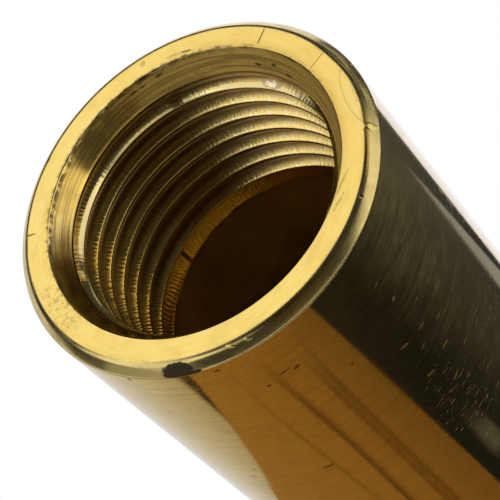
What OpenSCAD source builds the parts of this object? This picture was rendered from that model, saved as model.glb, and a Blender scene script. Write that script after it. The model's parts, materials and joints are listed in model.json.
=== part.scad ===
// Thread extension fitting: a turned brass sleeve that lengthens a pipe connection.
// It stands on its threaded spigot, with the socket mouth up. Sizes in millimetres.
// The thread crests are plain walls here: the socket's bore and the spigot's outside.

/* [Body] */
// Outside diameter of the plain body, which all the walls are measured from
body_d = 26.5; // [25:0.5:34]
// Length that the fitting adds, from the shoulder to the mouth face
body_l = 50; // [44:1:120]
// Width of the broken edges at both ends of the body
body_edge = 0.7; // [0.2:0.1:1.2]

/* [Socket] */
// Wall outside the socket's thread crests
socket_wall = 3.75; // [3:0.05:4.5]
// Depth of the threaded wall below the mouth face
socket_depth = 15.5; // [10:0.5:18]
// Wall left at the mouth face by the countersink
mouth_wall = 2.4; // [1.8:0.1:2.9]
// Included angle of the mouth's countersink
mouth_angle = 60; // [50:5:100]

/* [Spigot] */
// Width of the shoulder around the spigot's thread crests
shoulder_w = 2.775; // [2:0.025:4]
// Length of the spigot below the shoulder
spigot_l = 12; // [8:0.5:16]
// Width of the lead chamfer at the spigot's end
spigot_edge = 1.2; // [0.6:0.1:1.4]
// Depth of the relief groove between the spigot's thread and the shoulder
groove_depth = 1.275; // [1:0.025:1.5]
// Width of that groove at the thread crests
groove_w = 3.2; // [3.1:0.1:4]

/* [Waterway] */
// Wall of the relief chamber behind the socket's thread
chamber_wall = 2.65; // [2:0.05:2.9]
// Depth of the relief chamber's straight wall below the mouth face
chamber_depth = 34; // [24:1:36]
// Included angle of the cone that leads from the chamber to the passage
chamber_angle = 90; // [60:5:120]
// Wall of the passage through the spigot, inside the thread crests
passage_wall = 2.975; // [2.7:0.025:4.5]
// Width of the broken edge where the passage leaves the spigot
passage_edge = 0.4; // [0.2:0.1:0.8]

/* [Hidden] */
// Facets of the revolved form
$fn = 96;
total_l = spigot_l + body_l;
body_r = body_d / 2;
socket_r = body_r - socket_wall;
socket_end_z = total_l - socket_depth;
mouth_r = body_r - mouth_wall;
mouth_end_z = total_l - (mouth_r - socket_r) / tan(mouth_angle / 2);
spigot_r = body_r - shoulder_w;
groove_r = spigot_r - groove_depth;
chamber_r = body_r - chamber_wall;
chamber_end_z = total_l - chamber_depth;
passage_r = spigot_r - passage_wall;
passage_top_z = chamber_end_z - (chamber_r - passage_r) / tan(chamber_angle / 2);

// The outside, as [radius, height], from the spigot's end up to the mouth face
outside = [
    [spigot_r - spigot_edge, 0],
    [spigot_r, spigot_edge],
    [spigot_r, spigot_l - groove_w],
    [groove_r, spigot_l - groove_w + groove_depth],
    [groove_r, spigot_l - groove_depth],
    [spigot_r, spigot_l],
    [body_r - body_edge, spigot_l],
    [body_r, spigot_l + body_edge],
    [body_r, total_l - body_edge],
    [body_r - body_edge, total_l],
];

// The inside, from the countersunk mouth down through the socket and the waterway
inside = [
    [mouth_r, total_l],
    [socket_r, mouth_end_z],
    [socket_r, socket_end_z],
    [chamber_r, socket_end_z],
    [chamber_r, chamber_end_z],
    [passage_r, passage_top_z],
    [passage_r, passage_edge],
    [passage_r + passage_edge, 0],
];

// The whole fitting, turned from one brass bar
module extension_body() {
    color("goldenrod")
        rotate_extrude()
            polygon(concat(outside, inside));
}

extension_body();
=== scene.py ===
import json
import math
import bpy
import numpy as np
from mathutils import Matrix, Vector


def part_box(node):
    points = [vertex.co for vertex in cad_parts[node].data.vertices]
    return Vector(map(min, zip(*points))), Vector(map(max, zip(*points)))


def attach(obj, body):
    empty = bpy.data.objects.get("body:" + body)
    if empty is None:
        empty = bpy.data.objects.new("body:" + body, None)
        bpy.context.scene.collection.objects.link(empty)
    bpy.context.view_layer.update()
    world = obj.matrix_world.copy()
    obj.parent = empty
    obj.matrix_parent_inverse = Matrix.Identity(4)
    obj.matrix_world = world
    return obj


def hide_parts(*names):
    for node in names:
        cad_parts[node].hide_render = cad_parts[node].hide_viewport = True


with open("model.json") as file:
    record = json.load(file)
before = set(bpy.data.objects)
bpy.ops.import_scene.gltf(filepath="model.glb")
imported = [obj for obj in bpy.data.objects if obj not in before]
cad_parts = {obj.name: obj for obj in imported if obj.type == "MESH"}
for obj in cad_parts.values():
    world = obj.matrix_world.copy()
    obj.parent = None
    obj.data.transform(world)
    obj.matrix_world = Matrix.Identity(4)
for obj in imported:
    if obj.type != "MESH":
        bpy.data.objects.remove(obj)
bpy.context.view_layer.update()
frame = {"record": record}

# The fitting: one bar of free-cutting brass, turned outside, drilled and bored inside,
# countersunk and tapped at the mouth and threaded on the spigot. Sizes are in millimetres.
# Its skin is the turned outline revolved, in rows of points that run clockwise seen from above.
MM = 0.001
mounts = {mount["name"]: mount for mount in frame["record"]["mounts"]}
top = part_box("extension_body")[1]
total_l = top[2] / MM
body_r = top[0] / MM
columns = 256
full_turn = 2 * math.pi
clock = np.arange(columns) / columns * full_turn
around = np.stack([np.cos(clock), -np.sin(clock)], axis=1)
points = []
faces = []
finishes = []
point_count = 0


def ring(radius, height):
    """One closed row of points; radius and height may change round the row."""
    global point_count
    radius = np.broadcast_to(radius, columns)
    height = np.broadcast_to(height, columns)
    points.append(np.column_stack([around * radius[:, None], height]))
    point_count += columns
    return np.arange(point_count - columns, point_count)


def add_face(corners, finish):
    """A face without the corners that fall together."""
    kept = [c for n, c in enumerate(corners) if c != corners[n - 1]]
    if len(set(kept)) == len(kept) and len(kept) > 2:
        faces.append(kept)
        finishes.append(finish)


def band(upper, lower, finish):
    """Faces between two closed rows, which look at the axis where the first row is the upper one."""
    for i in range(columns):
        k = (i + 1) % columns
        add_face([upper[i], lower[i], lower[k], upper[k]], finish)


# The socket: a countersink, a wide first ridge under it, full turns of thread and a land that ends them.
# A coarse countersink and a half-inch pipe tap cut it. They leave a burr at the mouth,
# a first ridge that is torn steeper at both ends, flanks that bend and a run-out in the land.
inch = 25.4
turns_an_inch = 14
pitch = inch / turns_an_inch
flank = math.tan(math.radians(27.5))
thread_root_r = 10.4775
socket_r = mounts["socket_thread"]["dims"]["r_mm"]
socket_depth = 15.5
mouth_r = 10.85
mouth_slope = math.tan(math.radians(30))
mouth_top_depth = 0.09
countersink_depth = 1.72
lip_w = 0.1
lip_slope = math.tan(math.radians(37))
lip_start_r = mouth_r - (countersink_depth - lip_w) * mouth_slope
countersink_end_r = lip_start_r - lip_w * lip_slope
ledge_w = 0.07
ledge_drop = 0.06
undercut_drop = 0.78
undercut_gap = 0.1
start_depths = [0, countersink_depth - lip_w, countersink_depth,
                countersink_depth + ledge_drop, countersink_depth + undercut_drop]
start_radii = [mouth_r, lip_start_r, countersink_end_r, countersink_end_r + ledge_w,
               thread_root_r + undercut_gap]
start_round = 0.04
torn_turn = np.radians([197, 201, 289, 293])
torn_slopes = np.tan(np.radians([53, 37, 37, 53]))
torn_w = 0.28
torn_clocks = np.radians([20, 60, 335, 358])
torn_shares = [0, 1, 1, 0]
first_crest_depth = 4.82
first_crest_turn = 0.75
socket_crest_half = 0.06
socket_crest_depth = first_crest_depth - socket_crest_half - first_crest_turn * pitch
socket_rows = [0.05, 0.09, 0.13, 0.21, 0.33, 0.45, 0.56, 0.67, 0.79]
crest_round_above = 0.1
crest_round_below = 0.06
low_flank = math.tan(math.radians(58))
high_flank = math.tan(math.radians(66))
flank_bend = 0.38
bend_round = 0.12
root_round = 0.4
run_out_clock = math.radians(248)
full_turns = 5
run_out_past = 0.13
run_out_start = full_turns * pitch + run_out_past
land_r = 9.55
land_slope = 0.5
mouth_burr = 0.022
burr_reach = 0.2
burr_seed = 7
burr_share = 0.5
rough_edge = np.random.default_rng(burr_seed).normal(size=columns)
rough_edge = rough_edge + burr_share * (np.roll(rough_edge, 1) + np.roll(rough_edge, -1))


def soft_max(a, b, width):
    """The larger of two values, with the corner between them rounded."""
    blend = np.clip(0.5 + 0.5 * (a - b) / width, 0, 1)
    return b + (a - b) * blend + width * blend * (1 - blend)


def beside_crest(offset):
    """How far below the nearest crest's middle an axial offset lies."""
    return (offset + pitch / 2) % pitch - pitch / 2


def tapped_form(beside):
    """Radius of the socket's thread beside a crest's middle.
    The flank above the crest bends, and the one below it is plain."""
    away = np.abs(beside) - socket_crest_half
    steep = high_flank * away - (high_flank / low_flank - 1) * flank_bend
    above = soft_max(soft_max(low_flank * away, steep, bend_round), 0, crest_round_above)
    below = soft_max(away / flank, 0, crest_round_below)
    return -soft_max(-socket_r - np.where(beside < 0, above, below), -thread_root_r, root_round)


def first_ridge_form(over_first, clocks):
    """Radius of the torn first ridge, at a height over its crest and a clock angle."""
    torn = torn_w * np.interp(clocks, torn_clocks, torn_shares)
    torn_slope = np.interp(clocks, torn_turn, torn_slopes)
    over_torn = np.clip(over_first - socket_crest_half, 0, None)
    steep = torn + high_flank * (over_torn - torn / torn_slope)
    return socket_r + np.maximum(torn_slope * over_torn, steep)


def socket_radius(depth, clocks):
    """The socket's wall at a depth under the mouth face and a clock angle."""
    offset = depth - socket_crest_depth - clocks / full_turn * pitch
    wall = tapped_form(beside_crest(offset))
    lead = land_r + (socket_depth - depth) * land_slope
    land = np.where(clocks < run_out_clock, np.minimum(wall, lead), lead)
    wall = np.where(offset > run_out_start, land, wall)
    over_first = np.clip(-pitch - offset, 0, None)
    column = np.rint(clocks / full_turn * columns).astype(int) % columns
    burr = mouth_burr * rough_edge[column] * np.exp(-depth / burr_reach)
    start = np.interp(depth, start_depths, start_radii) + burr
    ridge = np.minimum(np.minimum(start, first_ridge_form(over_first, clocks)), thread_root_r)
    start = np.where(depth <= countersink_depth, start, ridge)
    return np.where(over_first > 0, start, soft_max(wall, start, start_round))


def helical_wall(top_depth, end_depth, crest_depth, half_rows, radius_at, finish, looks_out):
    """A wall whose rows follow the helix between two closed rows. Returns the first and the last row."""
    global point_count
    snap = 0.03
    spare_turns = 3
    row_offsets = np.concatenate([[0], half_rows, [pitch / 2], pitch - np.array(half_rows)[::-1]])
    rows_a_turn = len(row_offsets)
    turns = math.ceil((end_depth - top_depth) / pitch) + spare_turns
    start = crest_depth - (math.ceil((crest_depth - top_depth) / pitch) + 1) * pitch
    row_depths = start + (np.arange(turns)[:, None] * pitch + row_offsets).ravel()
    depth = row_depths[:, None] + clock / full_turn * pitch
    rows = len(depth)
    first = ring(radius_at(np.full(columns, top_depth), clock), total_l - top_depth)
    last = ring(radius_at(np.full(columns, end_depth), clock), total_l - end_depth)
    inside = (depth > top_depth + snap) & (depth < end_depth - snap)
    number = np.where(depth < (top_depth + end_depth) / 2, first, last)
    number[inside] = point_count + np.arange(inside.sum())
    radius = radius_at(depth, np.broadcast_to(clock, depth.shape))[inside]
    columns_at = np.broadcast_to(np.arange(columns), depth.shape)[inside]
    points.append(np.column_stack([around[columns_at] * radius[:, None], total_l - depth[inside]]))
    point_count += int(inside.sum())
    for j in range(rows - 1):
        for i in range(columns):
            if i + 1 < columns:
                quad = [number[j, i], number[j + 1, i], number[j + 1, i + 1], number[j, i + 1]]
            else:
                up = min(j + rows_a_turn, rows - 1)
                down = min(j + 1 + rows_a_turn, rows - 1)
                quad = [number[j, i], number[j + 1, i], number[down, 0], number[up, 0]]
            add_face(quad[::-1] if looks_out else quad, finish)
    return first, last


countersink_rows = [mouth_top_depth, 0.3, 0.6, 0.9, 1.2, 1.45, *start_depths[1:4]]
ridge_row_depth = 1.82
socket_top = ring(socket_radius(np.full(columns, mouth_top_depth), clock), total_l - mouth_top_depth)
upper = socket_top
for depth in countersink_rows[1:]:
    lower = ring(socket_radius(np.full(columns, depth), clock), total_l - depth)
    band(upper, lower, "countersink" if depth <= countersink_depth else "thread")
    upper = lower
ridge_row, socket_end = helical_wall(ridge_row_depth, socket_depth, socket_crest_depth, socket_rows,
                                     socket_radius, "thread", looks_out=False)
band(upper, ridge_row, "thread")

# The outside: mouth face, broken edges, plain wall, shoulder and relief groove, turned from the bar
# and polished, which leaves a small round at each corner. The rim has taken a knock on one side:
# the face sinks toward its edge there and the edge is pushed out.
body_edge = 0.7
rim_r = body_r - body_edge
edge_z = total_l - body_edge
shoulder_z = mounts["shoulder_seat"]["pos_m"][2] / MM
spigot_r = mounts["spigot_thread"]["dims"]["r_mm"]
groove_depth = 1.275
groove_w = 3.2
groove_r = spigot_r - groove_depth
groove_foot_z = shoulder_z - groove_w + groove_depth
thread_lead = 0.2
sharp = 0
mouth_round = 0.06
rim_round = 0.32
edge_round = 0.16
foot_round = 0.15
shoulder_round = 0.1
seat_round = 0.08
groove_round = 0.15
longest_row = 2.0
face_reach = 0.05
edge_reach = 0.1


def turned(corners, steps=4):
    """A turned outline with a small round at each corner.
    It takes (radius, height, round) and gives (radius, height)."""
    line = [corners[0][:2]]
    for before, corner, after in zip(corners, corners[1:], corners[2:]):
        at = np.array(corner[:2])
        back = np.array(before[:2]) - at
        on = np.array(after[:2]) - at
        back /= np.linalg.norm(back)
        on /= np.linalg.norm(on)
        for share in np.linspace(0, 1, steps + 1):
            line.append(tuple(at + corner[2] * (back * (1 - share) ** 2 + on * share ** 2)))
    line.append(corners[-1][:2])
    return line


def spread(line, longest):
    """The same outline with its long straight runs divided."""
    out = [line[0]]
    for start, end in zip(line, line[1:]):
        count = max(1, math.ceil(math.dist(start, end) / longest))
        for n in range(1, count + 1):
            out.append(tuple(np.array(start) + (np.array(end) - np.array(start)) * n / count))
    return out


outside = turned([
    (mouth_r - mouth_top_depth * mouth_slope, total_l - mouth_top_depth, sharp),
    (mouth_r, total_l, mouth_round),
    (rim_r, total_l, rim_round),
    (body_r, edge_z, edge_round),
    (body_r, shoulder_z + body_edge, foot_round),
    (rim_r, shoulder_z, shoulder_round),
    (spigot_r, shoulder_z, seat_round),
    (groove_r, shoulder_z - groove_depth, groove_round),
    (groove_r, groove_foot_z, groove_round),
    (groove_r + thread_lead, groove_foot_z - thread_lead, sharp),
])
outside = spread(outside, longest_row)[1:]
mouth_points = 5
face_row_count = 7
face_inner_gap = 0.15
face_outer_gap = 0.4
face_rows = np.linspace(mouth_r + face_inner_gap, rim_r - face_outer_gap, face_row_count)
outside = outside[:mouth_points] + [(r, total_l) for r in face_rows] + outside[mouth_points:]


def outside_finish(height):
    """The finish of a row of the outside."""
    if height > total_l - face_reach:
        return "face"
    if height > edge_z - edge_reach:
        return "edge"
    return "side" if height > shoulder_z else "spigot"


knock_clock = math.radians(18.5)
knock_half = math.radians(14)
knock_flat = 1.15
knock_sink = 0.08
knock_reach = 0.85
knock_push = 0.14
push_start = 0.35
push_w = 0.3
push_depth = 0.62
push_fade = 0.5
untouched_w = 0.5
touch_gap = 0.01


def knocked(radius, height):
    """The same row with the knock in it."""
    if height < edge_z - touch_gap or radius < mouth_r + untouched_w:
        return radius, height
    away = (clock - knock_clock + math.pi) % full_turn - math.pi
    bell = np.clip(knock_flat - (away / knock_half) ** 2, 0, 1)
    sink = np.clip((radius - (rim_r - knock_reach * bell)) / knock_reach, 0, 1)
    push_out = np.clip((radius - (rim_r - push_start)) / push_w, 0, 1)
    push_high = np.clip((height - total_l + push_depth) / push_fade, 0, 1)
    return radius + knock_push * bell * push_out * push_high, height - knock_sink * bell * sink


upper = socket_top
for radius, height in outside[:-1]:
    lower = ring(*knocked(radius, height))
    band(lower, upper, outside_finish(height))
    upper = lower
outside_end = upper

# The spigot: the same half-inch pipe thread, male, cut between the relief groove and the lead chamfer.
# Its crests end in the groove's slope above and in the chamfer's cone below.
thread_core_r = 9.3155
spigot_edge = 1.2
spigot_foot = 0.12
spigot_crest_half = 0.14
spigot_crest_round = 0.1
spigot_root_round = 0.3
spigot_end_round = 0.05
spigot_top_depth = total_l - outside[-1][1]
spigot_end_depth = total_l - spigot_foot
spigot_crest_z = 5
spigot_crest_depth = total_l - spigot_crest_z
spigot_rows = [0.1, 0.17, 0.3, 0.5, 0.68, 0.8]


def spigot_radius(depth, clocks):
    """The male thread, the groove's slope above it and the lead chamfer below it."""
    height = total_l - depth
    offset = depth - spigot_crest_depth - clocks / full_turn * pitch
    vee = spigot_r - (np.abs(beside_crest(offset)) - spigot_crest_half) / flank
    crest = -soft_max(-vee, -spigot_r, spigot_crest_round)
    wall = soft_max(crest, thread_core_r, spigot_root_round)
    slope = np.abs(groove_r + groove_foot_z - height)
    lead = spigot_r - spigot_edge + height
    return -soft_max(-wall, -np.minimum(slope, lead), spigot_end_round)


spigot_top, spigot_end = helical_wall(spigot_top_depth, spigot_end_depth, spigot_crest_depth, spigot_rows,
                                      spigot_radius, "spigot", looks_out=True)
band(spigot_top, outside_end, "spigot")

# The waterway: a passage drilled through the spigot, a cone and the relief chamber behind the socket.
# It is bored in the brass from the mouth before the tap goes in, and its far edge is broken.
chamber_r = 10.6
chamber_end_z = 28
passage_r = 7.5
passage_top_z = chamber_end_z - (chamber_r - passage_r)
passage_edge = 0.4
end_round = 0.08
passage_round = 0.06
cone_round = 0.3
land_round = 0.05
longest_bore_row = 2.5
end_reach = 0.02
inside = turned([
    (spigot_r - spigot_edge + spigot_foot, spigot_foot, sharp),
    (spigot_r - spigot_edge, 0, end_round),
    (passage_r + passage_edge, 0, passage_round),
    (passage_r, passage_edge, passage_round),
    (passage_r, passage_top_z, cone_round),
    (chamber_r, chamber_end_z, cone_round),
    (chamber_r, total_l - socket_depth, land_round),
    (land_r, total_l - socket_depth, sharp),
])
inside = spread(inside, longest_bore_row)[1:-1]
upper = spigot_end
for radius, height in inside:
    lower = ring(radius, height)
    band(lower, upper, "bore" if height > end_reach else "spigot")
    upper = lower
band(socket_end, upper, "bore")

# The skin: all those rows as one closed mesh, in metres, with one finish of the brass for each tool.
# It stands for the solid and rides on its body.
finish_names = ["face", "edge", "side", "countersink", "thread", "bore", "spigot"]
skin = bpy.data.meshes.new("fitting_skin")
skin.from_pydata((np.concatenate(points) * MM).tolist(), [], faces)
skin.polygons.foreach_set("material_index", [finish_names.index(f) for f in finishes])
skin.update()
fitting = bpy.data.objects.new("fitting", skin)
bpy.context.collection.objects.link(fitting)
skin.validate()
skin.polygons.foreach_set("use_smooth", [True] * len(skin.polygons))
weigh = fitting.modifiers.new("true_normals", "WEIGHTED_NORMAL")
weigh.keep_sharp = True
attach(fitting, "root")
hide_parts("extension_body")

# The brass: one alloy all over, which each tool, rag and knock has finished in its own way.
# A finish is a metal with tool lines in relief, dull patches, dirt, painted light and shade, and single
# marks,
# all drawn from two shared effects: noise that is drawn out, and a ragged spot.
# Near-black dirt; in the thread's notch the same colour is painted shade.
grime_and_shade = (0.05, 0.04, 0.025)
tarnish = (0.55, 0.42, 0.15)
mean_noise = 0.5
half_way = 0.5
skin_deep = 0.3


def make(tree, kind, sockets=None, **settings):
    """A node with its settings; each socket takes a link or a plain value."""
    made = tree.nodes.new(kind)
    for key, value in settings.items():
        setattr(made, key, value)
    for key, value in (sockets or {}).items():
        if isinstance(value, bpy.types.NodeSocket):
            tree.links.new(value, made.inputs[key])
        else:
            made.inputs[key].default_value = value
    return made


def math_node(tree, operation, *values):
    """The result of a sum on links and plain values."""
    return make(tree, "ShaderNodeMath", dict(enumerate(values)), operation=operation).outputs[0]


def vector_node(tree, operation, sockets):
    """A node for a sum on vectors."""
    return make(tree, "ShaderNodeVectorMath", sockets, operation=operation)


def new_group(name, sockets_in, socket_out):
    """An empty shared node group with its sockets."""
    tree = bpy.data.node_groups.new(name, "ShaderNodeTree")
    for socket, kind in sockets_in.items():
        tree.interface.new_socket(socket, in_out="INPUT", socket_type="NodeSocket" + kind)
    tree.interface.new_socket(socket_out, in_out="OUTPUT", socket_type="NodeSocketFloat")
    return tree, tree.nodes.new("NodeGroupInput").outputs, tree.nodes.new("NodeGroupOutput").inputs


# Noise drawn out round the axis or along it, by its two rates: tool lines, scratches and dull patches
drawn_noise, given, result = new_group("drawn_noise", {
    "Around": "Vector", "Along": "Float", "Round rate": "Float", "Along rate": "Float",
    "Detail": "Float", "From": "Float", "To": "Float"}, "Value")
wide = vector_node(drawn_noise, "SCALE", {0: given["Around"], "Scale": given["Round rate"]})
tall = math_node(drawn_noise, "MULTIPLY", given["Along"], given["Along rate"])
lift = make(drawn_noise, "ShaderNodeCombineXYZ", {"Z": tall})
spot_at = vector_node(drawn_noise, "ADD", {0: wide.outputs[0], 1: lift.outputs[0]})
cloud = make(drawn_noise, "ShaderNodeTexNoise", {
    "Vector": spot_at.outputs[0], "Scale": 1.0, "Detail": given["Detail"], "Roughness": 0.6})
cut = make(drawn_noise, "ShaderNodeMapRange", {
    "Value": cloud.outputs["Fac"], "From Min": given["From"], "From Max": given["To"]})
drawn_noise.links.new(cut.outputs[0], result["Value"])

# One mark at a place: 1 in its middle, 0 outside, with a ragged edge
mark_spot, given, result = new_group("mark_spot", {
    "Place": "Vector", "Centre": "Vector", "Turn": "Vector", "Size": "Vector", "Ragged": "Float"}, "Mask")
offset = vector_node(mark_spot, "SUBTRACT", {0: given["Place"], 1: given["Centre"]})
turned_in = make(mark_spot, "ShaderNodeVectorRotate", {
    "Vector": offset.outputs[0], "Rotation": given["Turn"]}, rotation_type="EULER_XYZ", invert=True)
sized = vector_node(mark_spot, "DIVIDE", {0: turned_in.outputs[0], 1: given["Size"]})
away = vector_node(mark_spot, "LENGTH", {0: sized.outputs[0]})
grit = make(mark_spot, "ShaderNodeTexNoise", {"Vector": given["Place"], "Scale": 4.0, "Detail": 2.0})
shake = math_node(mark_spot, "SUBTRACT", grit.outputs["Fac"], mean_noise)
shake = math_node(mark_spot, "MULTIPLY", shake, given["Ragged"])
ragged_edge = math_node(mark_spot, "ADD", away.outputs["Value"], shake)
fade = make(mark_spot, "ShaderNodeMapRange", {"Value": ragged_edge, "From Min": 1.0, "From Max": 0.55})
mark_spot.links.new(fade.outputs[0], result["Mask"])


class Brass:
    """One finish of the brass: a metal shader with chains for its colour, roughness and relief."""

    def __init__(self, name, colour, roughness):
        self.material = bpy.data.materials.new("brass_" + name)
        self.material.use_nodes = True
        self.tree = self.material.node_tree
        self.shader = self.tree.nodes["Principled BSDF"]
        self.shader.inputs["Metallic"].default_value = 1
        coordinate = make(self.tree, "ShaderNodeTexCoord").outputs["Object"]
        self.place = vector_node(self.tree, "SCALE", {0: coordinate, "Scale": 1 / MM}).outputs[0]
        level = vector_node(self.tree, "MULTIPLY", {0: self.place, 1: (1, 1, 0)}).outputs[0]
        self.around = vector_node(self.tree, "NORMALIZE", {0: level}).outputs[0]
        self.sides = make(self.tree, "ShaderNodeSeparateXYZ", {0: self.around}).outputs
        height = make(self.tree, "ShaderNodeSeparateXYZ", {0: self.place}).outputs["Z"]
        radius = vector_node(self.tree, "LENGTH", {0: level}).outputs["Value"]
        self.along = {"Radius": radius, "Height": height}
        self.colour = (*colour, 1)
        self.roughness = roughness
        self.normal = None

    def noise(self, along, rates, detail, span=(0.0, 1.0)):
        """Drawn noise along the height or the radius, with its rates round the axis and along."""
        return make(self.tree, "ShaderNodeGroup", {
            "Around": self.around, "Along": self.along[along], "Round rate": rates[0],
            "Along rate": rates[1], "Detail": detail, "From": span[0], "To": span[1]},
            node_tree=drawn_noise).outputs[0]

    def comb(self, teeth, wander):
        """Even chatter marks round the axis, shaken by a slow noise."""
        turn = math_node(self.tree, "ARCTAN2", self.sides["Y"], self.sides["X"])
        slow = self.noise("Height", rates=(9.0, 0.9), detail=1.0)
        swept = math_node(self.tree, "MULTIPLY_ADD", turn, teeth, self.times(slow, wander))
        return math_node(self.tree, "SINE", swept)

    def mark(self, clock_deg, radius, depth, size, ragged, tilt=0, swing=0):
        """A mark at a clock angle, a radius and a depth under the face; size is out, round and down."""
        angle = -math.radians(clock_deg)
        centre = (radius * math.cos(angle), radius * math.sin(angle), total_l - depth)
        turn = (math.radians(tilt), 0, angle + math.radians(swing))
        return make(self.tree, "ShaderNodeGroup", {
            "Place": self.place, "Centre": centre, "Turn": turn, "Size": size, "Ragged": ragged},
            node_tree=mark_spot).outputs[0]

    def rim_of(self, mask, width):
        """The thin outline of a mark."""
        return math_node(self.tree, "COMPARE", mask, half_way, width)

    def most(self, masks):
        """The strongest of several masks at each place."""
        strongest = masks[0]
        for mask in masks[1:]:
            strongest = math_node(self.tree, "MAXIMUM", strongest, mask)
        return strongest

    def times(self, mask, factor):
        """A mask weakened by a number or by another mask."""
        return math_node(self.tree, "MULTIPLY", mask, factor)

    def rise(self, value, start, end, low=0.0, high=1.0):
        """A mask that goes from low to high while a value goes from start to end."""
        return make(self.tree, "ShaderNodeMapRange", {
            "Value": value, "From Min": start, "From Max": end, "To Min": low, "To Max": high}).outputs[0]

    def tint(self, mask, colour, share):
        """Lays a colour over the finish where the mask is strong."""
        mixed = make(self.tree, "ShaderNodeMix", data_type="RGBA")
        factor, first, second = mixed.inputs[0], mixed.inputs[6], mixed.inputs[7]
        self.tree.links.new(self.times(mask, share), factor)
        if isinstance(self.colour, bpy.types.NodeSocket):
            self.tree.links.new(self.colour, first)
        else:
            first.default_value = self.colour
        second.default_value = (*colour, 1)
        self.colour = mixed.outputs[2]

    def dull(self, mask, by):
        """Adds roughness where the mask is strong."""
        self.roughness = math_node(self.tree, "MULTIPLY_ADD", mask, by, self.roughness)

    def relief(self, height, microns):
        """Adds relief, in thousandths of a millimetre, to the finish."""
        bump = make(self.tree, "ShaderNodeBump", {
            "Height": height, "Strength": 1.0, "Distance": microns * MM * MM})
        if self.normal is not None:
            self.tree.links.new(self.normal, bump.inputs["Normal"])
        self.normal = bump.outputs[0]

    def done(self):
        """Joins the chains to the shader."""
        chains = {"Base Color": self.colour, "Roughness": self.roughness, "Normal": self.normal}
        for name, value in chains.items():
            if isinstance(value, bpy.types.NodeSocket):
                self.tree.links.new(value, self.shader.inputs[name])
            elif value is not None:
                self.shader.inputs[name].default_value = value
        skin.materials.append(self.material)


# The mouth face: bright brass, faced with a fine feed and rubbed since.
# It is scratched across, smudged, grimed along its outer edge, darkened in a ragged line along its inner edge
# and creased where the rim was knocked. Painted shade darkens the crease, the right side and the inner edge
# at the right.
face_gold = (0.92, 0.665, 0.175)
streak_gold = (0.95, 0.75, 0.3)
patch_gold = (0.8, 0.55, 0.14)
knock_gold = (1.0, 0.8, 0.36)
crease_shade_brown = (0.5, 0.34, 0.1)
right_shade_gold = (0.82, 0.56, 0.13)
inner_shade_brown = (0.55, 0.35, 0.09)
smudge_brown = (0.38, 0.28, 0.12)
face = Brass("face", face_gold, roughness=0.15)


def face_mark(clock_deg, radius, half_out, half_round, ragged, swing=0):
    """A flat mark on the mouth face."""
    return face.mark(clock_deg, radius, 0, (half_out, half_round, skin_deep), ragged, swing=swing)


# Each mark: clock angle, radius, half its width outward, half its length round, raggedness, swing
scratch_marks = [
    (333.4, 11.75, 0.72, 0.05, 0.5),
    (359.2, 11.75, 0.78, 0.025, 0.3, 9),
    (216, 12.15, 0.42, 0.07, 0.8),
    (212, 12.4, 0.05, 0.9, 0.6),
    (243, 12.4, 0.1, 0.3, 1.4),
    (263, 12.4, 0.08, 0.25, 1.4),
    (305, 11.2, 0.08, 0.4, 1.4),
]
smudge_marks = [
    (300, 11.25, 0.14, 0.8, 1.8),
    (288, 11.9, 0.3, 0.25, 1.8),
    (52, 11.1, 0.12, 1.5, 1.7, -12),
    (58, 11.3, 0.1, 1.0, 1.7, -12),
]
feed = face.noise("Radius", rates=(1.5, 9.0), detail=3.0)
fine_feed = face.noise("Radius", rates=(5.0, 22.0), detail=2.0)
streaks = face.noise("Radius", rates=(2.0, 4.0), detail=4.0, span=(0.42, 0.72))
patches = face.noise("Radius", rates=(6.0, 1.0), detail=5.0, span=(0.45, 0.7))
face.relief(feed, microns=3.0)
face.relief(fine_feed, microns=0.8)
face.dull(patches, by=0.12)
face.tint(streaks, streak_gold, share=0.6)
face.tint(patches, patch_gold, share=0.45)
# A ragged dark line along the inner edge, strongest on the far side of the mouth.
inner_ragged = face.noise("Radius", rates=(20.0, 2.0), detail=4.0, span=(0.46, 0.6))
outer_dirt = face.noise("Radius", rates=(14.0, 1.5), detail=4.0, span=(0.52, 0.66))
far_side = face.rise(face.sides["Y"], start=-0.3, end=0.1, low=0.1)
inner_dark_line = face.times(face.rise(face.along["Radius"], start=mouth_r + 0.28, end=mouth_r), inner_ragged)
inner_dark_line = face.times(inner_dark_line, far_side)
outer_grime = face.times(face.rise(face.along["Radius"], start=rim_r - 0.35, end=rim_r), outer_dirt)
scratches = face.most([face_mark(*mark) for mark in scratch_marks])
thumbed = face.noise("Radius", rates=(30.0, 2.4), detail=4.0, span=(0.5, 0.62))
thumb_mark = face_mark(182, 11.6, half_out=0.75, half_round=3.2, ragged=0.6)
smudges = face.most([face.times(thumb_mark, thumbed), *[face_mark(*mark) for mark in smudge_marks]])
knock_patch = face.mark(19.5, 12.75, depth=0, size=(1.35, 3.6, 1.0), ragged=0.1)
# Painted shade: a dark brown line along the edge of the knocked patch, where the dent's edge lies in shade.
knock_crease_shade = face.rim_of(knock_patch, width=0.09)
face.relief(knock_patch, microns=-12)
face.tint(knock_patch, knock_gold, share=0.3)
face.tint(knock_crease_shade, crease_shade_brown, share=0.5)
# Painted shade: the right side of the face is tinted darker and more orange, and its inner edge there darker
# still.
shaded_right = face.rise(face.sides["X"], start=0.2, end=0.9)
inner_shade = face.times(face.rise(face.along["Radius"], start=mouth_r + 0.6, end=mouth_r), shaded_right)
face.tint(shaded_right, right_shade_gold, share=0.35)
face.tint(inner_shade, inner_shade_brown, share=0.5)
face.relief(scratches, microns=-18)
face.tint(scratches, grime_and_shade, share=0.7)
face.tint(smudges, smudge_brown, share=0.42)
face.dull(smudges, by=0.15)
face.tint(inner_dark_line, grime_and_shade, share=0.75)
face.tint(outer_grime, grime_and_shade, share=0.5)
face.done()
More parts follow.
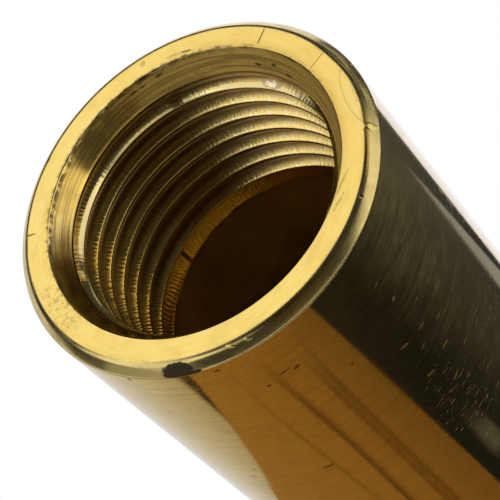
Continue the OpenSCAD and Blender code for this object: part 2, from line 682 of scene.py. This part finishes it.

# The broken edge round the face: brass turned to a narrow cone and left duller than the face.
# It has nicks and burrs from handling, with the burrs painted brighter as a glint, painted shade at the right
# where the knock dents the rim, and a black blot low at the left.
edge_gold = (0.8, 0.62, 0.24)
blot_black = (0.03, 0.028, 0.022)
burr_glint_gold = (1.0, 0.76, 0.24)
dent_shade_brown = (0.24, 0.18, 0.08)
edge = Brass("edge", edge_gold, roughness=0.17)
edge_lines = edge.noise("Height", rates=(3.0, 9.0), detail=3.0)
edge_patches = edge.noise("Height", rates=(5.0, 1.0), detail=4.0, span=(0.4, 0.7))
edge.relief(edge_lines, microns=2.0)
edge.dull(edge_patches, by=0.12)
edge.tint(edge_patches, tarnish, share=0.6)
blot = edge.most([
    edge.mark(130.9, 13.0, depth=0.44, size=(0.7, 1.4, 0.7), ragged=0.3),
    edge.mark(126.4, 13.2, depth=0.66, size=(0.3, 0.75, 0.15), ragged=0.5),
])
blot = edge.rise(blot, start=0.3, end=0.6)
nicks = edge.mark(55.5, 12.66, depth=0.1, size=(0.16, 0.12, 0.3), ragged=0.9)
edge.tint(blot, blot_black, share=0.93)
edge.dull(blot, by=0.3)
edge.relief(nicks, microns=-12)
edge.tint(nicks, grime_and_shade, share=0.6)
# Raised burrs, tinted bright gold as a painted glint.
burrs = edge.most([
    edge.mark(32.3, 12.8, depth=0.25, size=(0.5, 0.32, 0.5), ragged=0.5, swing=-14),
    edge.mark(113.5, 12.66, depth=0.14, size=(0.1, 0.32, 0.2), ragged=0.7, swing=-20),
    edge.mark(108, 12.72, depth=0.2, size=(0.12, 0.3, 0.2), ragged=0.7, swing=-20),
])
edge.relief(burrs, microns=30)
edge.tint(burrs, burr_glint_gold, share=0.8)
# Painted shade: dark brown patches on the edge at the right, where the knocked rim's dent lies in shade.
dent_shade = edge.most([
    edge.mark(0, 12.9, depth=0.35, size=(0.8, 2.4, 0.8), ragged=0.3),
    edge.mark(12, 13.0, depth=0.45, size=(0.5, 1.6, 0.5), ragged=0.3),
])
edge.tint(dent_shade, dent_shade_brown, share=0.6)
edge.done()

# The outside wall: brass polished nearly to a mirror, with fine lines round it from the lathe.
# Handling has smeared and brushed it on one side and left flecks, cuts, dashes and small nicks.
wall_gold = (0.92, 0.69, 0.22)
turning_brown = (0.58, 0.42, 0.12)
stain_brown = (0.56, 0.41, 0.13)
smear_brown = (0.42, 0.3, 0.1)
brushed_brown = (0.38, 0.27, 0.09)
fleck_gold = (0.95, 0.6, 0.14)
nick_brown = (0.2, 0.12, 0.05)
side = Brass("side", wall_gold, roughness=0.055)


def wall_mark(clock_deg, depth, half_round, half_high, tilt, ragged):
    """A flat mark on the outside wall."""
    return side.mark(clock_deg, body_r, depth, (skin_deep, half_round, half_high), ragged, tilt=tilt)


# Each mark: clock angle, depth under the face, half its length round, half its height, tilt, raggedness
dash_marks = [
    (57.0, 5.3, 0.14, 0.12, 30, 0.9),
    (60.0, 4.9, 0.32, 0.06, 10, 0.9),
    (72.0, 4.8, 0.3, 0.06, 10, 0.9),
    (71.0, 7.2, 0.22, 0.16, 0, 1.2),
    (66.0, 9.6, 0.24, 0.06, 0, 0.9),
    (78.0, 11.2, 0.55, 0.11, -20, 1.0),
    (64.0, 12.9, 0.45, 0.07, 0, 0.9),
    (61.5, 13.4, 0.25, 0.06, -25, 0.9),
    (70.5, 11.6, 0.4, 0.1, 0, 0.9),
    (74.0, 13.0, 0.35, 0.09, 12, 0.9),
    (68.5, 15.2, 0.5, 0.1, 0, 0.9),
    (77.5, 15.6, 0.4, 0.1, -12, 0.9),
    (63.0, 17.4, 0.45, 0.08, 0, 0.9),
    (72.5, 18.3, 0.55, 0.1, 8, 0.9),
]
nick_marks = [
    (103.5, 4.7, 0.38, 0.18, 20, 0.7),
    (107.0, 4.45, 0.6, 0.1, 8, 0.7),
    (119.4, 17.0, 0.55, 0.17, 0, 0.7),
    (74.8, 16.7, 0.15, 0.15, 0, 1.0),
    (80.7, 19.1, 0.6, 0.2, 0, 1.4),
    (92.0, 8.1, 0.12, 0.12, 0, 0.6),
    (113.0, 5.0, 0.2, 0.15, 0, 1.2),
    (120.5, 1.2, 0.3, 0.14, 0, 0.9),
    (147.6, 1.0, 0.25, 0.22, 0, 0.8),
]
faint_marks = [
    (141.5, 15.8, 0.22, 0.2, 0, 1.4),
    (145, 17.2, 0.3, 0.25, 0, 1.8),
]
faint_share = 0.5
upper_wear = 0.75
light_wear = 0.4
polish = side.noise("Height", rates=(1.2, 14.0), detail=3.0)
waves = side.noise("Height", rates=(3.0, 0.25), detail=2.0)
haze = side.noise("Height", rates=(3.5, 0.12), detail=4.0, span=(0.42, 0.72))
turning = side.noise("Height", rates=(2.2, 6.0), detail=4.0, span=(0.42, 0.66))
grain = side.noise("Height", rates=(34.0, 5.0), detail=4.0, span=(0.4, 0.75))
stain = side.noise("Height", rates=(9.0, 0.7), detail=5.0, span=(0.46, 0.72))
scattered = side.noise("Height", rates=(3.0, 0.16), detail=3.0, span=(0.5, 0.7))
worn_patch = side.most([
    side.times(side.mark(60, body_r, depth=8, size=(4, 4, 6), ragged=0.9), upper_wear),
    side.mark(66, body_r, depth=20, size=(5, 7, 7), ragged=0.9),
    side.times(scattered, light_wear),
])
fleck_noise = side.noise("Height", rates=(46.0, 6.0), detail=3.0, span=(0.62, 0.76))
cut_noise = side.noise("Height", rates=(13.0, 9.0), detail=1.0, span=(0.66, 0.74))
flecks = side.times(fleck_noise, worn_patch)
cuts = side.times(cut_noise, worn_patch)
side.relief(polish, microns=0.7)
side.relief(waves, microns=1.0)
side.relief(grain, microns=0.6)
side.tint(turning, turning_brown, share=0.42)
side.tint(grain, turning_brown, share=0.4)
side.tint(stain, stain_brown, share=0.3)
side.dull(haze, by=0.03)
handled = side.mark(62, body_r, depth=12, size=(9, 6.5, 16), ragged=0.6)
smear_noise = side.noise("Height", rates=(8.0, 0.8), detail=6.0, span=(0.42, 0.62))
brush_noise = side.noise("Height", rates=(3.0, 4.0), detail=4.0, span=(0.44, 0.6))
smear = side.times(smear_noise, handled)
brushed = side.times(brush_noise, handled)
side.tint(smear, smear_brown, share=0.85)
side.tint(brushed, brushed_brown, share=0.75)
side.dull(smear, by=0.12)
side.dull(brushed, by=0.1)
side.dull(turning, by=0.05)
side.relief(flecks, microns=2.6)
side.dull(flecks, by=0.22)
side.tint(flecks, fleck_gold, share=0.7)
side.relief(cuts, microns=-7.0)
side.dull(cuts, by=0.2)
side.tint(cuts, fleck_gold, share=0.7)
dashes = side.most([wall_mark(*mark) for mark in dash_marks])
side.relief(dashes, microns=6)
side.dull(dashes, by=0.4)
side.tint(dashes, fleck_gold, share=0.85)
faint_nicks = side.times(side.most([wall_mark(*mark) for mark in faint_marks]), faint_share)
side_nicks = side.most([*[wall_mark(*mark) for mark in nick_marks], faint_nicks])
side.relief(side_nicks, microns=-5)
side.tint(side_nicks, nick_brown, share=0.85)
side.dull(side_nicks, by=0.25)
side.done()

# The countersink: brass cut with a coarse tool, which leaves rings, duller at the right, with a painted
# highlight that lightens it at the right and at the left.
# A ragged dark line runs just under its upper edge, weaker at the right, and dirt sits in a few chips.
cone_gold = (0.88, 0.585, 0.13)
right_cone_lit_gold = (1.0, 0.74, 0.24)
left_cone_lit_gold = (1.0, 0.82, 0.36)
ring_brown = (0.42, 0.28, 0.07)
cone = Brass("countersink", cone_gold, roughness=0.16)
rings = cone.noise("Height", rates=(0.8, 4.0), detail=3.0)
fine_rings = cone.noise("Height", rates=(3.0, 14.0), detail=2.0)
stains = cone.noise("Height", rates=(6.0, 1.2), detail=4.0, span=(0.5, 0.7))
cone.relief(rings, microns=4)
cone.relief(fine_rings, microns=2.0)
cone.dull(stains, by=0.08)
# Painted highlight: the countersink is tinted a brighter gold at its right and its left, where more light
# falls; the right is also rougher.
dull_lit_right = cone.rise(cone.sides["X"], start=0.1, end=0.6)
lit_left = cone.rise(cone.sides["X"], start=-0.6, end=-0.9)
cone.dull(dull_lit_right, by=0.5)
cone.tint(dull_lit_right, right_cone_lit_gold, share=0.7)
cone.tint(lit_left, left_cone_lit_gold, share=0.8)
ring_lines = cone.noise("Height", rates=(1.0, 7.0), detail=3.0, span=(0.48, 0.58))
cone.tint(ring_lines, ring_brown, share=0.65)
cone.tint(stains, tarnish, share=0.4)
# A ragged dark line just under the upper edge, weaker at the right.
under_edge = cone.rise(cone.along["Height"], start=total_l - 0.5, end=total_l - 0.1)
edge_ragged = cone.noise("Height", rates=(18.0, 2.0), detail=3.0, span=(0.42, 0.56))
far_left = cone.rise(cone.sides["X"], start=0.8, end=0.3, low=0.15)
edge_dark_line = cone.times(cone.times(under_edge, edge_ragged), far_left)

# Each chip: clock angle, radius, depth under the face, half its length round, half its height
chip_marks = [
    (280, 10.56, 0.5, 0.4, 0.08),
    (284, 10.55, 0.52, 0.3, 0.08),
    (292, 10.58, 0.45, 0.4, 0.08),
    (333, 10.2, 1.1, 0.35, 0.12),
    (340, 10.3, 0.95, 0.3, 0.12),
    (348, 10.1, 1.3, 0.4, 0.12),
]
chips = cone.most([
    cone.mark(clock_deg, radius, depth, (skin_deep, half_round, half_high), ragged=1.5)
    for clock_deg, radius, depth, half_round, half_high in chip_marks])
cone.tint(edge_dark_line, grime_and_shade, share=0.85)
cone.dull(edge_dark_line, by=0.3)
cone.tint(chips, grime_and_shade, share=0.8)
cone.done()

# The tapped thread: brass with its flanks torn across by the tap's chatter, a painted highlight that makes
# its crests pale and streaks the right flanks, and painted shade in the roots.
# The first ridge is painted pale as a highlight and darker at its ends as shade, with a scuff at the right;
# the land carries a painted warm reflection and a notch darkened with painted shade.
thread_gold = (0.93, 0.67, 0.18)
torn_lit_gold = (1.0, 0.85, 0.48)
root_shade_brown = (0.19, 0.1, 0.028)
land_reflection_gold = (1.0, 0.66, 0.14)
crest_highlight_pale = (0.95, 0.86, 0.6)
ridge_lit_gold = (1.0, 0.79, 0.33)
ridge_end_shade_gold = (0.64, 0.51, 0.26)
scuff_pale = (0.95, 0.84, 0.62)
scuff_brown = (0.3, 0.19, 0.09)
thread = Brass("thread", thread_gold, roughness=0.15)
chatter = thread.comb(teeth=180, wander=14)
tears = thread.noise("Height", rates=(110.0, 1.5), detail=1.0)
left_side = thread.rise(thread.sides["X"], start=0.4, end=-0.3, low=0.22)
above_turns = thread.rise(thread.along["Height"], start=total_l - 3.45, end=total_l - 3.35)
over_root = thread.rise(thread.along["Radius"], start=9.83, end=9.77)
first_ridge = thread.times(above_turns, over_root)
under_ridge = math_node(thread.tree, "SUBTRACT", 1.0, first_ridge)
thread.relief(thread.times(thread.times(chatter, left_side), under_ridge), microns=4)
thread.relief(tears, microns=5)
# Torn streaks on the right flanks, tinted pale gold as a painted highlight where light falls on them.
lit_right_flanks = thread.rise(thread.sides["X"], start=0.2, end=0.6)
torn_noise = thread.noise("Height", rates=(55.0, 4.0), detail=4.0, span=(0.42, 0.62))
torn_lit_grain = thread.times(torn_noise, thread.times(lit_right_flanks, under_ridge))
thread.tint(torn_lit_grain, torn_lit_gold, share=0.7)
thread.relief(torn_lit_grain, microns=5)
# Painted shade: the roots are tinted dark brown, deeper into the groove, as shade in the recess.
root_shade = thread.rise(thread.along["Radius"], start=9.68, end=10.15)
thread.tint(root_shade, root_shade_brown, share=0.88)
thread.dull(root_shade, by=0.15)
# Painted reflection: the land is tinted a strong orange, standing for the warm light the brass walls throw
# onto it.
land_mask = thread.rise(thread.along["Height"], start=total_l - 13.9, end=total_l - 14.2)
thread.tint(land_mask, land_reflection_gold, share=0.95)
thread.dull(land_mask, by=0.02)
thread.relief(thread.times(chatter, land_mask), microns=2.2)
# Painted shade: the notch in the land is darkened almost to black, as shade in its recess.
notch = thread.mark(248, 9.75, depth=14.8, size=(0.6, 0.17, 0.95), ragged=0.4, tilt=8)
thread.relief(notch, microns=-60)
thread.tint(notch, grime_and_shade, share=0.9)
# Painted highlight: the crests are tinted pale and made rougher, standing for the bright light they mirror.
lit_crests = thread.rise(thread.along["Radius"], start=9.53, end=9.505)
thread.tint(lit_crests, crest_highlight_pale, share=0.5)
thread.dull(lit_crests, by=0.2)
# Painted highlight and shade: the first ridge is tinted pale gold, and darker towards its ends at the left
# and right.
shaded_ridge_ends = thread.rise(math_node(thread.tree, "ABSOLUTE", thread.sides["X"]), start=0.3, end=0.7)
thread.tint(first_ridge, ridge_lit_gold, share=0.9)
thread.tint(thread.times(shaded_ridge_ends, first_ridge), ridge_end_shade_gold, share=0.5)
thread.relief(thread.times(chatter, first_ridge), microns=1.6)
scuff = thread.mark(334.5, 9.65, depth=2.9, size=(0.6, 0.95, 0.3), ragged=0.7)
scuff_edge = thread.rim_of(scuff, width=0.3)
thread.relief(scuff, microns=-12)
thread.tint(scuff, scuff_pale, share=0.7)
thread.tint(scuff_edge, scuff_brown, share=0.6)
thread.done()

# The relief chamber and the passage: brass bored rough, never polished,
# and darkened in patches by what has run through it.
bore_gold = (0.95, 0.72, 0.3)
bore_brown = (0.6, 0.36, 0.09)
bore = Brass("bore", bore_gold, roughness=0.42)
bored = bore.noise("Height", rates=(1.0, 3.0), detail=3.0)
bore_patches = bore.noise("Height", rates=(3.0, 0.2), detail=4.0, span=(0.35, 0.7))
bore.relief(bored, microns=10)
bore.tint(bore_patches, bore_brown, share=0.6)
bore.done()

# The spigot, its groove and the end faces: brass turned clean with a fine feed,
# a little tarnished and without marks.
spigot = Brass("spigot", wall_gold, roughness=0.16)
spigot_lines = spigot.noise("Height", rates=(1.5, 12.0), detail=3.0)
spigot_patches = spigot.noise("Height", rates=(4.0, 0.6), detail=4.0, span=(0.42, 0.72))
spigot.relief(spigot_lines, microns=1.5)
spigot.dull(spigot_patches, by=0.12)
spigot.tint(spigot_patches, tarnish, share=0.5)
spigot.done()

# The camera: a long lens above the mouth, half turned about its own line of sight,
# so that the fitting lies across the picture with its foot outside the frame.
lens_px = 2023
frame_px = 500
eye_aside = -0.0029 * body_r
eye_in_front = -6.7159 * body_r
eye_over_edge = 7.3660 * body_r
camera_data = bpy.data.cameras.new("camera")
camera_data.sensor_width = 36
camera_data.lens = lens_px / frame_px * camera_data.sensor_width
camera_data.clip_start = 0.01
camera = bpy.data.objects.new("camera", camera_data)
bpy.context.collection.objects.link(camera)
right = Vector((0.71193, -0.53704, -0.45249))
up = Vector((0.70225, 0.54444, 0.45872))
back = right.cross(up).normalized()
up = back.cross(right).normalized()
right.normalize()
eye = Vector((eye_aside, eye_in_front, edge_z + eye_over_edge)) * MM
camera.matrix_world = Matrix.Translation(eye) @ Matrix((right, up, back)).transposed().to_4x4()
bpy.context.scene.camera = camera

# The floor: a plain sheet painted matt white, on which the fitting stands.
# It shows white to the eye and in the metal, apart from the shadow round the foot.
floor_half = 2.0
floor_white = (0.85, 0.85, 0.85, 1)
shadow_start = 9 * MM
shadow_end = 24 * MM
flat_quad = [(0, 1, 2, 3)]


def sheet_corners(half_w, half_h):
    """The corners of a flat sheet round its own middle."""
    return [(-half_w, -half_h, 0), (half_w, -half_h, 0), (half_w, half_h, 0), (-half_w, half_h, 0)]


def stage_piece(name, mesh):
    """A stage object with its own empty paint. Returns the object and the paint's nodes."""
    thing = bpy.data.objects.new(name, mesh)
    bpy.context.collection.objects.link(thing)
    paint = bpy.data.materials.new(name + "_paint")
    paint.use_nodes = True
    paint.node_tree.nodes.clear()
    mesh.materials.append(paint)
    return thing, paint.node_tree


floor_mesh = bpy.data.meshes.new("floor")
floor_mesh.from_pydata(sheet_corners(floor_half, floor_half), [], flat_quad)
floor, floor_nodes = stage_piece("floor", floor_mesh)
matt = make(floor_nodes, "ShaderNodeBsdfDiffuse", {"Color": floor_white})
glow = make(floor_nodes, "ShaderNodeEmission", {"Strength": 1.0})
path = make(floor_nodes, "ShaderNodeLightPath").outputs
seen = math_node(floor_nodes, "MAXIMUM", path["Is Camera Ray"], path["Is Glossy Ray"])
seen = math_node(floor_nodes, "MAXIMUM", seen, path["Is Transmission Ray"])
floor_place = make(floor_nodes, "ShaderNodeTexCoord").outputs["Object"]
off_axis = vector_node(floor_nodes, "LENGTH", {0: floor_place}).outputs["Value"]
out_of_shadow = make(floor_nodes, "ShaderNodeMapRange", {
    "Value": off_axis, "From Min": shadow_start, "From Max": shadow_end})
white = math_node(floor_nodes, "MULTIPLY", seen, out_of_shadow.outputs[0])
floor_mix = make(floor_nodes, "ShaderNodeMixShader", {0: white, 1: matt.outputs[0], 2: glow.outputs[0]})
make(floor_nodes, "ShaderNodeOutputMaterial", {"Surface": floor_mix.outputs[0]})

# The cards: glowing panels that lie low round the fitting, seen only in the metal, which paint the
# reflections in its polished wall.
# Each is cut to the course that its edges take down the wall, and lies at its own height over the floor.
wall_rows = [-80, -40, 0.7, 4, 8, 12, 16, 20, 26, 34, 46]
wall_turn = (4, 18)


def mirrored(clock_deg, depth, height):
    """The place over the floor that the camera sees in the polished wall at a clock angle and a depth."""
    angle = -math.radians(clock_deg)
    outward = Vector((math.cos(angle), math.sin(angle), 0))
    spot = outward * body_r * MM + Vector((0, 0, (total_l - depth) * MM))
    bounce = (spot - eye).normalized().reflect(outward)
    return spot + bounce * ((height * MM - spot.z) / bounce.z)


def hidden_stage(thing, nodes, colour):
    """Paints a stage piece with plain light of one colour, which only the metal sees."""
    light = make(nodes, "ShaderNodeEmission", {"Color": colour, "Strength": 1.0})
    make(nodes, "ShaderNodeOutputMaterial", {"Surface": light.outputs[0]})
    thing.visible_camera = False
    thing.visible_diffuse = False
    thing.visible_shadow = False


def card(name, height, strips, rows=wall_rows, turn=wall_turn):
    """A card for the wall to mirror. A strip has its course down the wall, as (depth, clock) points,
    and its colours above and below the depths where one turns into the other."""
    mesh = bpy.data.meshes.new(name)
    spots = []
    tints = []
    for depth in rows:
        for course, high, low in strips:
            spots.append(mirrored(float(np.interp(depth, *zip(*course))), depth, height))
            share = float(np.interp(depth, turn, (0, 1)))
            tints.append([*(np.array(high) * (1 - share) + np.array(low) * share), 1])
    wide = len(strips)
    quads = [(n, n + 1, n + 1 + wide, n + wide) for n in range(len(spots) - wide) if (n + 1) % wide]
    mesh.from_pydata(spots, [], quads)
    tint = mesh.color_attributes.new("tint", "FLOAT_COLOR", "POINT")
    tint.data.foreach_set("color", np.ravel(tints))
    thing, nodes = stage_piece(name, mesh)
    colour = make(nodes, "ShaderNodeVertexColor", layer_name="tint")
    hidden_stage(thing, nodes, colour.outputs["Color"])


def strip(course, colour, low=None, step=0):
    """A strip along a course, moved round the wall by a step."""
    return [(depth, clock_deg + step) for depth, clock_deg in course], colour, low or colour


def plain(clock_deg, colour, low=None):
    """A strip that stays at one clock angle."""
    return strip([(0, clock_deg)], colour, low)


brown_start = [(0.6, 89.5), (10, 88.1), (18, 87.2), (26, 86.2), (46, 84)]
brown_end = [(1.4, 128), (6, 130.7), (11.8, 135.4), (17.7, 140.9), (21, 146.3), (26, 152), (46, 165)]
umber = (0.15, 0.083, 0.029)
hazel = (0.24, 0.126, 0.04)
amber = (0.3, 0.168, 0.057)
card("brown_card", height=0.6, strips=[strip(brown_start, umber), plain(107, hazel), strip(brown_end, amber)])

seam = (0.12, 0.062, 0.02)
pale_seam = (0.16, 0.084, 0.028)
deep_seam = (0.055, 0.028, 0.01)
seam_height = 0.65
seam_rows = [2.5, 4.5, 8, 12, 16, 20, 26, 34, 46]
wide_seam = [(0, 98.9), (46, 98.6)]
long_seam = [(4.7, 110.6), (9, 109.7), (15, 109.1), (26, 109.6)]
thin_seam = [(9, 118.9), (21, 116.7), (46, 112)]
card("wide_seam", seam_height, [
    strip(wide_seam, umber, step=-1.2), strip(wide_seam, hazel, seam),
    strip(wide_seam, hazel, pale_seam, step=0.9), strip(wide_seam, hazel, seam, step=2.3),
    strip(wide_seam, hazel, step=3.4)], seam_rows, turn=(2.5, 8))
card("long_seam", seam_height, [
    strip(long_seam, hazel, step=-2.4), strip(long_seam, hazel, seam, step=-0.5),
    strip(long_seam, hazel, deep_seam), strip(long_seam, hazel, step=0.5)], seam_rows, turn=(2.5, 6))
card("thin_seam", seam_height, [
    strip(thin_seam, hazel, step=-0.5), strip(thin_seam, hazel, seam),
    strip(thin_seam, hazel, step=0.5)], seam_rows, turn=(6, 12))

soot = (0.05, 0.036, 0.02)
sand = (0.37, 0.32, 0.26)
wedge_rows = [-10, 0.7, 2, 4, 6, 6.6]
wedge_inner = [(1, 130.6), (6.5, 131.6)]
wedge_outer = [(1, 132.2), (6.5, 131.8)]
card("wedge_card", seam_height, [strip(brown_end, soot), strip(wedge_inner, soot), strip(wedge_outer, sand)],
     wedge_rows)

slate = (0.066, 0.069, 0.073)
black = (0.027, 0.03, 0.037)
olive = (0.09, 0.096, 0.102)
pewter = (0.05, 0.052, 0.062)
dusk = (0.046, 0.048, 0.056)
shade = (0.026, 0.028, 0.037)
peat = (0.02, 0.019, 0.022)
coal = (0.012, 0.013, 0.018)
card("dark_card", height=0.7, strips=[
    plain(24.2, slate, black), plain(31, slate, black), plain(45, olive, pewter), plain(57, olive, pewter),
    plain(66, dusk, shade), plain(76, peat, coal), strip(brown_start, peat, coal)])

mist = (0.085, 0.09, 0.11)
patch_rows = [23, 24, 26, 28.5]
card("low_patch", height=0.75, strips=[
    plain(73.5, coal), plain(75, coal, mist), plain(79, coal, mist), plain(81.5, coal)],
    rows=patch_rows, turn=(23, 24.4))

ash = (0.278, 0.3, 0.38)
grey_rows = [5.2, 12.6, 20.7, 26, 34, 46]
grey_start = [(5.2, 33.9), (12.6, 31.5), (20.7, 29.2), (26, 27.8)]
grey_end = [(5.2, 34.0), (12.6, 35.2), (20.7, 36.2), (26, 36.8)]
card("grey_strip", height=0.9, strips=[strip(grey_start, ash), strip(grey_end, ash)], rows=grey_rows)

snow = (1.0, 1.02, 1.12)
frost = (0.94, 0.97, 1.24)
shell = (0.43, 0.39, 0.34)
pearl = (0.62, 0.62, 0.67)
chalk = (0.88, 0.9, 0.94)
card("white_card", height=0.5, strips=[plain(4, snow), plain(13, snow), plain(23.6, frost)])
card("pale_card", height=0.5, strips=[strip(brown_end, sand, shell), plain(152, pearl), plain(176, chalk)])

# The lights: soft boxes on stands round the fitting, all turned to its mouth, a few of them warm.
# Their radiance is near that of the white floor, so that a colour shows about as it is painted.
near_white = (1, 1, 1)
warm = (1, 0.78, 0.42)
golden = (1, 0.66, 0.25)
stand_off = 0.6


def face_mouth(thing, direction, distance):
    """Puts a light or a panel out in a direction and turns it to the mouth."""
    aim = Vector(direction).normalized()
    thing.location = Vector((0, 0, total_l * MM)) + aim * distance
    thing.rotation_euler = aim.to_track_quat("Z", "Y").to_euler()


def softbox(name, direction, size, radiance, colour=near_white, distance=stand_off):
    """A square soft light."""
    data = bpy.data.lights.new(name, "AREA")
    data.shape = "RECTANGLE"
    data.size, data.size_y = size
    data.energy = radiance * math.pi * size[0] * size[1]
    data.color = colour
    lamp = bpy.data.objects.new(name, data)
    bpy.context.collection.objects.link(lamp)
    face_mouth(lamp, direction, distance)


softbox("back_light", (0, 0.644, 0.765), size=(0.6, 0.5), radiance=1.0)
softbox("right_light", (0.923, -0.318, 0.23), size=(0.64, 0.44), radiance=0.95)
softbox("left_light", (-0.715, 0.11, 0.69), size=(0.5, 0.39), radiance=1.0)
softbox("right_high", (0.78, 0.12, 0.61), size=(0.28, 0.17), radiance=0.56, colour=warm)
softbox("left_front", (-0.474, -0.296, 0.829), size=(0.2, 0.18), radiance=0.5)
softbox("left_wall", (-0.965, -0.22, 0.12), size=(0.6, 0.34), radiance=0.32)
softbox("front_wall", (-0.4, -0.92, 0.12), size=(0.66, 0.26), radiance=0.04, colour=golden)
softbox("front_strip", (0, -0.899, 0.438), size=(1.15, 0.055), radiance=0.8, distance=0.45)
softbox("right_back", (0.79, 0.55, 0.28), size=(0.2, 0.08), radiance=0.6)

# The flags: dark panels hung over the fitting between the soft boxes, glowing dimly, casting no shadow and
# seen only in the metal.
# As painted dark reflections they keep one part of the room dim in the socket and in the mouth's edge.
flag_dark = (0.022, 0.015, 0.011, 1)
flag_brown = (0.05, 0.036, 0.02, 1)
flag_distance = 0.5


def flag(name, direction, size, colour):
    """A dark panel that only the metal sees."""
    mesh = bpy.data.meshes.new(name)
    mesh.from_pydata(sheet_corners(size[0] / 2, size[1] / 2), [], flat_quad)
    panel, nodes = stage_piece(name, mesh)
    face_mouth(panel, direction, flag_distance)
    hidden_stage(panel, nodes, colour)


flag("overhead_flag", (0, -0.3, 0.95), size=(0.3, 0.5), colour=flag_dark)
flag("right_flag", (0.52, 0.28, 0.81), size=(0.17, 0.15), colour=flag_dark)
flag("camera_flag", (0, -0.75, 0.66), size=(0.35, 0.3), colour=flag_brown)

# The room: white to the eye, and dim in the metal and on the floor,
# so that the soft boxes, cards and flags make the reflections.
room_light = 0.04
room_white = (1, 1, 1, 1)
world = bpy.data.worlds.new("studio")
world.use_nodes = True
background = world.node_tree.nodes["Background"]
background.inputs["Color"].default_value = room_white
sky_path = make(world.node_tree, "ShaderNodeLightPath").outputs
sky = math_node(world.node_tree, "MAXIMUM", sky_path["Is Camera Ray"], room_light)
world.node_tree.links.new(sky, background.inputs["Strength"])
bpy.context.scene.world = world
bpy.context.scene.view_settings.view_transform = "Standard"
